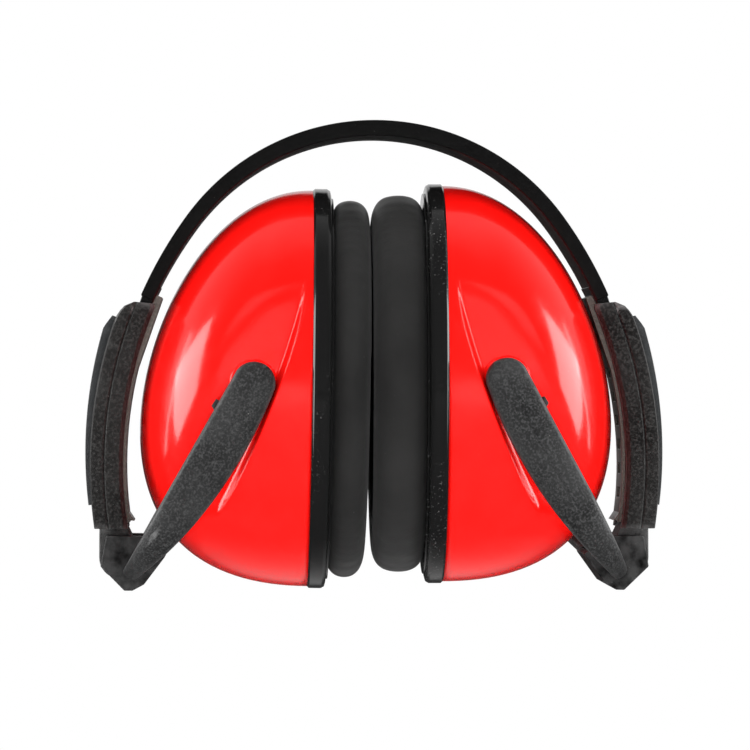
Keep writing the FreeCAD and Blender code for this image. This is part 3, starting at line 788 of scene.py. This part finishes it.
def make_tab(side):
    """The curved catch plate, standing a little off the slider at its upper end."""
    tab = arc_piece(f"{side}_tab_plate", side, tab_section, TAB_BOTTOM, TAB_TOP)
    pin = place_of(f"{side}_tab_flex")
    turn = Matrix.Rotation(math.radians(TAB_LIFT) * SIDES[side], 4, "Y")
    tab.data.transform(Matrix.Translation(pin) @ turn @ Matrix.Translation(-pin))
    bevel(tab, 0.15)
    dress(tab, f"{side}_tab", "tab_plastic", MATERIALS["tab"], f"{side}_adjuster_tab")


# ---------------------------------------------------------------- fork


def fork_frame(side):
    """Maps fork points (s along the arm, y, z across it) to the row frame."""
    pivot = place_of(f"{side}_tilt")
    fold = place_of(f"{side}_fold")
    along = (fold - pivot).normalized()
    across = Vector((-along.z * SIDES[side], 0, along.x * SIDES[side]))

    def place(s, y, z):
        return pivot + (along * s + across * z + Vector((0, y, 0))) * MM

    return place


def fork_edges(s):
    """The arm's lower and upper edge at a distance s from the pivot."""
    if s < 0:
        half = math.sqrt(max(FORK_TIP_RADIUS**2 - s**2, 0.0))
        return -half, half
    low = 105.6 - math.sqrt(115.0**2 - (s - 30.0) ** 2)
    low = min(low, -math.sqrt(max(FORK_TIP_RADIUS**2 - s**2, 0.0)))
    high = FORK_TIP_RADIUS - 7.5 * s / FORK_END
    return low, high


def fork_path():
    """Stations along the outside of the front arm and half of the base, from the tip."""
    stations = []
    for degrees in spread(-84, 0, 9):
        turn = math.radians(degrees)
        stations.append((FORK_TIP_RADIUS * math.sin(turn), -FORK_HALF_WIDTH, Vector((0, -1))))
    straight = FORK_END - FORK_CORNER
    for s in spread(0, straight, 20)[1:]:
        stations.append((s, -FORK_HALF_WIDTH, Vector((0, -1))))
    for degrees in spread(0, 90, 20)[1:]:
        turn = math.radians(degrees)
        stations.append((straight + FORK_CORNER * math.sin(turn),
                         -FORK_HALF_WIDTH + FORK_CORNER * (1 - math.cos(turn)),
                         Vector((math.sin(turn), -math.cos(turn)))))
    for y in spread(-FORK_HALF_WIDTH + FORK_CORNER, 0, 6)[1:]:
        stations.append((FORK_END, y, Vector((1, 0))))
    return stations


def fork_ring(place, s, y, outward, mirror):
    """The arm's cross-section: crowned outside with a centre crease, flat inside."""
    low, high = fork_edges(min(s, FORK_END))
    middle, half = (low + high) / 2, (high - low) / 2
    crease = 0.30 * smooth_step((s + 5) / 6) * smooth_step((46 - s) / 20)
    crown = 0.9
    tip_thin = 0.6 * smooth_step(1 - (s + FORK_TIP_RADIUS) / 2.0)
    ring = []
    for share in spread(-1, 1, 25):
        depth = crown * abs(share) ** 2.6 + crease * max(0.0, 1 - abs(share) * half / 0.45)
        depth += tip_thin + 0.75 * max(0.0, (abs(share) - 0.9) / 0.1) ** 2
        ring.append((share, depth))
    for share in spread(1, -1, 9):
        lift = 0.5 * max(0.0, (abs(share) - 0.8) / 0.2) ** 2
        ring.append((share * 0.985, FORK_THICKNESS - lift))
    points = []
    for share, depth in ring:
        along = s - outward.x * depth
        deep = y - outward.y * depth
        points.append(place(along, -deep if mirror else deep, middle + half * share))
    return points


def make_fork(side):
    """Two arms and their base in one sweep, with stops, studs and the hinge block."""
    place = fork_frame(side)
    stations = fork_path()
    rings = [fork_ring(place, s, y, outward, False) for s, y, outward in stations]
    rings += [fork_ring(place, s, y, outward, True) for s, y, outward in stations[-2::-1]]
    fork = tube(f"{side}_fork_arms", rings)
    bevel(fork, 0.3, degrees=68)
    dress(fork, f"{side}_arms", "fork_plastic", MATERIALS["fork"], f"{side}_fork")
    for name, sign in (("front", -1), ("back", 1)):
        make_stop_lug(side, name, sign, place)
        make_stud(side, name, sign, place)
    make_hinge_block(side, place)


def make_stop_lug(side, name, sign, place):
    """A small stop on the inner face, just showing past the arm's upper edge."""
    outline = [(8.2, 3.0), (8.6, 5.0), (10.6, 4.9), (11.4, 3.0)]
    rings = [[place(s, sign * y, z) for s, z in outline] for y in (34.7, 36.4)]
    lug = tube(f"{side}_{name}_stop_lug", rings)
    bevel(lug, 0.15)
    dress(lug, f"{side}_arms", "fork_plastic", MATERIALS["block"])


def make_stud(side, name, sign, place):
    """The round stud inside the arm that the cup swings on."""
    rings = []
    for y, radius in ((29.6, 1.8), (29.9, 2.15), (35.0, 2.15)):
        rings.append([place(radius * math.cos(turn), sign * y, radius * math.sin(turn))
                      for turn in spread(0, 2 * math.pi, 33)[:-1]])
    stud = tube(f"{side}_{name}_stud", rings)
    bevel(stud, 0.1, degrees=60)
    dress(stud, f"{side}_arms", "fork_plastic", MATERIALS["fork"])


def make_hinge_block(side, place):
    """Two solid cheeks either side of the tongue, joined by the foot below it."""
    h = FORK_REACH
    outline = [(h - 7.5, -0.9), (h - 2.4, 6.1), (h + 4.5, 2.7), (h + 5.72, -5.64),
               (h + 4.5, -7.25), (h + 1.6, -8.6), (h - 7.4, -8.6)]
    cheek = rounded_loop(outline, 0.5, 3)
    foot = rounded_loop([(h - 7.4, -8.6), (h - 7.4, -7.2), (h + 0.5, -6.55), (h + 4.3, -5.05),
                         (h + 5.55, -5.05), (h + 5.72, -5.64), (h + 4.5, -7.25),
                         (h + 1.6, -8.6)], 0.15, 3)
    for name, low, high, loop in (("front_cheek", -14.0, -8.0, cheek),
                                  ("back_cheek", 8.0, 14.0, cheek), ("foot", -8.1, 8.1, foot)):
        rings = [[place(s, y, z) for s, z in loop] for y in (low, high)]
        piece = tube(f"{side}_hinge_{name}", rings)
        bevel(piece, 0.35, degrees=40)
        dress(piece, f"{side}_arms", "fork_plastic", MATERIALS["block"])


# ---------------------------------------------------------------- ear cup


def cup_frame(side):
    """Maps cup points (u outwards from the rim, y, w up) to the row frame."""
    pivot = place_of(f"{side}_tilt")
    sign = SIDES[side]
    lean = math.radians(CUP_LEAN[side])

    def place(u, y, w):
        across, up = u - PIVOT_U, w - PIVOT_W
        turned = across * math.cos(lean) + up * math.sin(lean)
        raised = up * math.cos(lean) - across * math.sin(lean)
        return pivot + Vector((sign * turned, y, raised)) * MM

    return place


def dome_point(theta, turn):
    """The cup's plain dome: theta from the rim to the crown, turn around it from the front."""
    share = math.sin(theta)
    shrink = math.sqrt(max(1 - share**2.1, 0.0))
    widen = 0.8 * math.sqrt(max(1 - share**3, 0.0)) + 0.2 * shrink
    return (CUP_DEPTH * share,
            -CUP_HALF_WIDTH * widen * math.cos(turn),
            CUP_HALF_HEIGHT * shrink * math.sin(turn) - CUP_SAG * share**2)


def crease_line(w):
    """How far out the crease of the recess runs at a height w."""
    return 7.95 - 0.361 * w + 0.00246 * w * w


def crease_angle(turn):
    """Theta where the meridian at this turn crosses the crease."""
    low, high = 0.0, math.radians(60)
    for _ in range(30):
        middle = (low + high) / 2
        u, _, w = dome_point(middle, turn)
        if u < crease_line(w):
            low = middle
        else:
            high = middle
    return max(middle, math.radians(2.5))


def recess_wall(u, w):
    """Share of the way down the recess's wall."""
    return smooth_step((u - crease_line(w)) / 1.8)


def recess_depth(u, w):
    """How deep the fan-shaped recess is cut below the dome at a place outside its crease."""
    step = 5.0 * smooth_step((24 - w) / 28) * smooth_step((w + 33) / 13)
    fade = 1 - smooth_step((u - crease_line(w) - 3) / 22)
    return step * recess_wall(u, w) * fade


def cup_point(theta, turn):
    """A point of the finished cup: the dome with its recess and the flat pocket for the arm."""
    u, y, w = dome_point(theta, turn)
    if u <= crease_line(w) + 1e-6:
        return u, y, w
    deep = abs(y)
    floor = POCKET_FLOOR + 6 * (1 - recess_wall(u, w))
    cut = soft_min(deep - recess_depth(u, w) * smooth_step((deep - 5) / 14), floor, 1.2)
    return u, math.copysign(max(cut, 0.0), y), w


def open_large_end(shell, columns):
    """Takes away the larger of the two end faces, so that the shell is open there."""
    work = bmesh.new()
    work.from_mesh(shell.data)
    ends = [face for face in work.faces if len(face.verts) == columns]
    ends.sort(key=lambda face: face.calc_area(), reverse=True)
    bmesh.ops.delete(work, geom=ends[:1], context="FACES_ONLY")
    work.to_mesh(shell.data)
    work.free()


def make_cup_shell(side):
    """The red cup: rows follow the crease so that its edge stays crisp."""
    place = cup_frame(side)
    columns = 256
    rows = []
    for column in range(columns):
        turn = 2 * math.pi * column / columns
        mirrored = turn if math.cos(turn) >= 0 else math.pi - turn
        crease = crease_angle(mirrored)
        wall = math.radians(2.6)
        thetas = spread(0, crease - math.radians(0.5), 14)
        thetas += [crease - math.radians(0.2), crease, crease + wall * 0.12]
        thetas += spread(crease + wall * 0.3, crease + wall * 1.2, 5)
        thetas += spread(crease + wall * 1.5, math.radians(89), 60)
        rows.append([place(*cup_point(theta, turn)) for theta in thetas])
    rings = [list(ring) for ring in zip(*rows)]
    shell = tube(f"{side}_cup_dome", rings)
    open_large_end(shell, columns)
    solid = shell.modifiers.new("Wall", "SOLIDIFY")
    solid.thickness = 2.0 * MM
    solid.offset = -1.0
    dress(shell, f"{side}_cup", "cup_plastic", MATERIALS["cup"], f"{side}_cup_shell")
    for name, sign in (("front", -1), ("back", 1)):
        make_boss(side, name, sign, place)


def make_boss(side, name, sign, place):
    """The raised ring around the pivot, under the arm."""
    rings = []
    for y, radius in ((31.0, 6.0), (33.3, 6.0), (33.75, 5.6), (33.75, 3.5), (31.0, 3.5)):
        rings.append([place(PIVOT_U + radius * math.cos(turn), sign * y,
                            PIVOT_W + radius * math.sin(turn))
                      for turn in spread(0, 2 * math.pi, 49)[:-1]])
    boss = tube(f"{side}_{name}_boss", rings, closed=True)
    dress(boss, f"{side}_cup", "cup_plastic", MATERIALS["cup"])


def oval_rings(place, section, half_height, half_width, count=192):
    """Sweeps (u, inset) points around an oval that is drawn in by each inset."""
    rings = []
    for step in range(count):
        turn = 2 * math.pi * step / count
        normal = Vector((math.cos(turn) / half_width, math.sin(turn) / half_height)).normalized()
        ring = []
        for u, inset in section:
            y = half_width * math.cos(turn) - normal.x * inset
            w = half_height * math.sin(turn) - normal.y * inset
            ring.append(place(u, y, w))
        rings.append(ring)
    return rings


def make_rim(side):
    """The glossy black frame: a bar with chamfered edges and a fine step on the cushion side."""
    place = cup_frame(side)
    t = RIM_THICKNESS
    section = rounded_loop([
        (-t, 1.3), (-t + 0.25, 0.45), (-t + 1.0, 0.0), (-0.5, 0.0), (0.0, 0.5),
        (0.0, RIM_BAR), (-t, RIM_BAR),
    ], 0.16, 3)
    rim = tube(f"{side}_rim_frame", oval_rings(place, section, RIM_HALF_HEIGHT, RIM_HALF_WIDTH),
               closed=True)
    dress(rim, f"{side}_cup", "rim_plastic", MATERIALS["rim"], f"{side}_cup_rim")


def cushion_section(thickness):
    """The cushion's plump cross-section, from the plate to the wearer's side."""
    near = -RIM_THICKNESS - 0.15
    far = near - thickness + 0.35
    width = CUSHION_HALF_WIDTH - EAR_HALF_WIDTH
    points = []
    for step in range(40):
        turn = 2 * math.pi * step / 40
        c, s = math.cos(turn), math.sin(turn)
        across = math.copysign(abs(c) ** 0.55, c)
        along = math.copysign(abs(s) ** 0.62, s)
        points.append(((near + far) / 2 + along * (near - far) / 2, width / 2 * (1 + across)))
    return points


def plump(piece):
    """Blows the skin up a little with cloth pressure and keeps every point near its start."""
    start = [vertex.co.copy() for vertex in piece.data.vertices]
    cloth = piece.modifiers.new("Cloth", "CLOTH")
    cloth.settings.use_pressure = True
    cloth.settings.uniform_pressure_force = 4.0
    cloth.settings.tension_stiffness = 25
    cloth.settings.compression_stiffness = 25
    cloth.settings.bending_stiffness = 0.4
    cloth.settings.effector_weights.gravity = 0
    cloth.settings.quality = 5
    cloth.collision_settings.use_collision = False
    cloth.point_cache.frame_start = 1
    cloth.point_cache.frame_end = 20
    for number in range(1, 21):
        bpy.context.scene.frame_set(number)
    apply_modifiers(piece)
    bpy.context.scene.frame_set(1)
    limit = 0.9 * MM
    for vertex, origin in zip(piece.data.vertices, start):
        moved = vertex.co - origin
        if moved.length > limit:
            vertex.co = origin + moved.normalized() * limit


def fit_to_box(piece, low, high):
    """Stretches the piece's mesh a little so that it just fills a box."""
    corners = [vertex.co for vertex in piece.data.vertices]
    for axis in range(3):
        least = min(corner[axis] for corner in corners)
        most = max(corner[axis] for corner in corners)
        scale = (high[axis] - low[axis]) / (most - least)
        for corner in corners:
            corner[axis] = low[axis] + (corner[axis] - least) * scale


def make_cushion(side):
    """A soft oval ring on a thin flange; it flattens a little as the cup tilts."""
    place = cup_frame(side)
    section = cushion_section(CUSHION_THICKNESS[side])
    half = (CUSHION_HALF_HEIGHT - 0.4, CUSHION_HALF_WIDTH - 0.4)
    cushion = tube(f"{side}_cushion_pad", oval_rings(place, section, *half, 128), closed=True)
    remesh = cushion.modifiers.new("Remesh", "REMESH")
    remesh.mode = "VOXEL"
    remesh.voxel_size = 1.9 * MM
    remesh.use_smooth_shade = True
    apply_modifiers(cushion)
    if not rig.quick():
        plump(cushion)
    smoother = cushion.modifiers.new("Smooth", "CORRECTIVE_SMOOTH")
    smoother.iterations = 12
    smoother.use_only_smooth = True
    subdivide(cushion, 1)
    apply_modifiers(cushion)
    low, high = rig.box(f"{side}_cushion")
    touch = Vector((0.2 * MM, 0, 0))
    fit_to_box(cushion, low - touch, high + touch)
    dress(cushion, f"{side}_cup", "cushion_skin", MATERIALS["cushion"], f"{side}_cushion")
    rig.padded(cushion, fill=0.7)
    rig.squash(cushion, f"{side}_tilt", axis=(1, 0, 0), anchor=place(-RIM_THICKNESS, 0, 0),
              keep=0.78)
    flange_section = rounded_loop([(-RIM_THICKNESS - 0.55, 0.0), (-RIM_THICKNESS + 0.02, 0.0),
                                   (-RIM_THICKNESS + 0.02, 6.0), (-RIM_THICKNESS - 0.55, 6.0)],
                                  0.14, 3)
    flange = tube(f"{side}_cushion_flange",
                  oval_rings(place, flange_section, CUSHION_HALF_HEIGHT + 0.5,
                             CUSHION_HALF_WIDTH + 0.5), closed=True)
    dress(flange, f"{side}_cup", "cushion_skin", MATERIALS["rim"])


def make_foam(side):
    """The foam sheet inside the cup, with a soft uneven face."""
    place = cup_frame(side)
    front, depth = -RIM_THICKNESS + 2.1, 11.6
    rings = []
    for u, size in ((front + 0.9, 0.0), (front + 0.25, 0.5), (front, 0.92), (front + 0.8, 1.0),
                    (front + depth - 1.0, 1.0), (front + depth, 0.95), (front + depth, 0.0)):
        ring = []
        for turn in spread(0, 2 * math.pi, 97)[:-1]:
            uneven = 1 + 0.006 * math.sin(5 * turn) + 0.004 * math.sin(11 * turn)
            scale = max(size, 0.02) * uneven
            ring.append(place(u, 26.6 * math.cos(turn) * scale, 42.6 * math.sin(turn) * scale))
        rings.append(ring)
    foam = tube(f"{side}_foam_pad", rings)
    subdivide(foam, 1)
    dress(foam, f"{side}_cup", "foam", MATERIALS["foam"], f"{side}_foam_liner")
    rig.padded(foam, fill=0.5)


def dress_cad_nodes():
    """The hidden hard parts keep their CAD shape and get their own materials."""
    wanted = {"tab_pin": "steel", "fold_pin": "steel", "pivot_bushes": "bush",
              "seal_plate": "plate"}
    for side in SIDES:
        for name, material in wanted.items():
            shown = frame["nodes"][f"{side}_{name}"]
            shown.data.materials.clear()
            shown.data.materials.append(MATERIALS[material])


# ---------------------------------------------------------------- stage


def distance_from(tree, place, spot):
    """How far a shaded point is from a spot."""
    return node(tree, "ShaderNodeVectorMath", {0: place, 1: spot},
                operation="DISTANCE").outputs["Value"]


def make_floor():
    """A pale floor, low enough that the cups clear it when they swing down out of the band.

    The camera sees it fade to white; reflections see it dim except close behind the object.
    """
    mesh = bpy.data.meshes.new("floor")
    reach = 12.0
    mesh.from_pydata([(-reach, -reach, 0), (reach, -reach, 0), (reach, reach, 0),
                      (-reach, reach, 0)], [], [(0, 1, 2, 3)])
    floor = bpy.data.objects.new("floor", mesh)
    bpy.context.scene.collection.objects.link(floor)
    floor.location.z = FLOOR_LEVEL
    material, tree, shader = new_material("pale_floor")
    place = node(tree, "ShaderNodeTexCoord").outputs["Object"]
    path = node(tree, "ShaderNodeLightPath")
    seen = path.outputs["Is Camera Ray"]
    from_middle = distance_from(tree, place, (0.0, 0.0, 0.0))
    from_behind = distance_from(tree, place, (0.0, 0.12, 0.0))
    shade = mix_colour(tree, noise(tree, place, 3, 3), (0.91, 0.905, 0.905, 1),
                       (0.93, 0.925, 0.925, 1))
    dim = mix_colour(tree, remap(tree, from_behind, 0.05, 0.16), grey(0.45), grey(0.05))
    tree.links.new(mix_colour(tree, path.outputs["Is Glossy Ray"], shade, dim),
                   shader.inputs["Base Color"])
    shader.inputs["Roughness"].default_value = 0.8
    shader.inputs["Specular IOR Level"].default_value = 0.0
    glow = node(tree, "ShaderNodeEmission", {"Color": (1, 1, 1, 1)})
    fade = remap(tree, from_middle, 0.08, 0.20, 0.45, 1.0)
    amount = node(tree, "ShaderNodeMath", {0: seen, 1: fade}, operation="MULTIPLY").outputs[0]
    blend = node(tree, "ShaderNodeMixShader", {
        0: amount, 1: shader.outputs["BSDF"], 2: glow.outputs["Emission"],
    })
    tree.links.new(blend.outputs[0], tree.nodes["Material Output"].inputs["Surface"])
    floor.data.materials.append(material)
    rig.stage(floor)


def soft_box(name, position, target, width, height, power, mirrored=True, roll=0.0):
    """A soft rectangular light; one that is not mirrored never shows in a shiny surface."""
    lamp = bpy.data.lights.new(name, "AREA")
    lamp.shape = "RECTANGLE"
    lamp.size = width
    lamp.size_y = height
    lamp.energy = power
    light = bpy.data.objects.new(name, lamp)
    bpy.context.scene.collection.objects.link(light)
    light.location = position
    aim = (Vector(target) - Vector(position)).to_track_quat("-Z", "Y")
    light.rotation_euler = (aim @ Quaternion((0, 0, 1), math.radians(roll))).to_euler()
    light.visible_glossy = mirrored
    return light


def light_only(light, side):
    """Keeps a side light to the pieces of its own side, so the far cup shows no glare of it."""
    pieces = bpy.data.collections.new(f"{side}_lit_pieces")
    for piece in bpy.data.objects:
        if piece.type == "MESH" and piece.name.startswith(f"{side}_"):
            pieces.objects.link(piece)
    light.light_linking.receiver_collection = pieces


def make_lights():
    """A soft box and a narrow edge box at each side, and large fills that never mirror."""
    middle = (0, 0, 0.05)
    for side, sign in SIDES.items():
        box = soft_box(f"{side}_box", (sign * 0.48, -0.08, 0.10), middle, 0.28, 0.38, 2.6,
                       roll=-sign * 38)
        light_only(box, side)
        soft_box(f"{side}_edge_box", (sign * 0.60, 0.15, 0.06), middle, 0.05, 0.5, 0.3)
    soft_box("front_left_fill", (-0.7, -1.5, 0.9), middle, 0.9, 0.7, 18, mirrored=False)
    soft_box("front_right_fill", (0.8, -1.5, 0.7), middle, 0.9, 0.7, 25, mirrored=False)
    soft_box("front_low_fill", (0.0, -1.6, -0.05), middle, 1.2, 0.3, 20, mirrored=False)
    soft_box("top_fill", (0, 0.3, 1.6), middle, 1.6, 1.6, 22, mirrored=False)


def make_world():
    """White behind the object, dim towards the front of the room."""
    world = bpy.data.worlds.new("studio")
    bpy.context.scene.world = world
    world.use_nodes = True
    tree = world.node_tree
    background = tree.nodes["Background"]
    direction = node(tree, "ShaderNodeTexCoord").outputs["Generated"]
    split = node(tree, "ShaderNodeSeparateXYZ", {"Vector": direction})
    depth = remap(tree, split.outputs["Y"], -0.3, 0.6, 0.06, 0.8)
    seen = node(tree, "ShaderNodeLightPath").outputs["Is Camera Ray"]
    level = node(tree, "ShaderNodeMix", {"Factor": seen, 2: depth, 3: 1.0})
    tree.links.new(level.outputs[0], background.inputs["Strength"])
    background.inputs["Color"].default_value = (1, 1, 1, 1)


def make_camera():
    """A long lens, level, in front of the earmuffs and a little to their left."""
    distance, height, yaw = 1.25, 0.0533, math.radians(-1.8)
    seen_width = 0.1875
    lens = bpy.data.cameras.new("camera")
    lens.sensor_width = 36
    lens.lens = 36 * distance / seen_width
    lens.clip_start = 0.05
    camera = bpy.data.objects.new("camera", lens)
    bpy.context.scene.collection.objects.link(camera)
    target = Vector((0.0004, 0, height))
    camera.location = target + Vector((math.sin(yaw), -math.cos(yaw), 0)) * distance
    camera.rotation_euler = (target - camera.location).to_track_quat("-Z", "Y").to_euler()
    bpy.context.scene.camera = camera
    bpy.context.scene.view_settings.view_transform = "Standard"


def main():
    make_camera()
    make_headband()
    for side in SIDES:
        make_slider(side)
        make_tab(side)
        make_fork(side)
        make_cup_shell(side)
        make_rim(side)
        make_cushion(side)
        make_foam(side)
    dress_cad_nodes()
    make_floor()
    make_lights()
    make_world()


main()
visual_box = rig.bounds()
with open("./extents.json", "w") as file:
    json.dump({"cad": [list(corner) for corner in cad_box],
               "visual": [list(corner) for corner in visual_box]}, file)
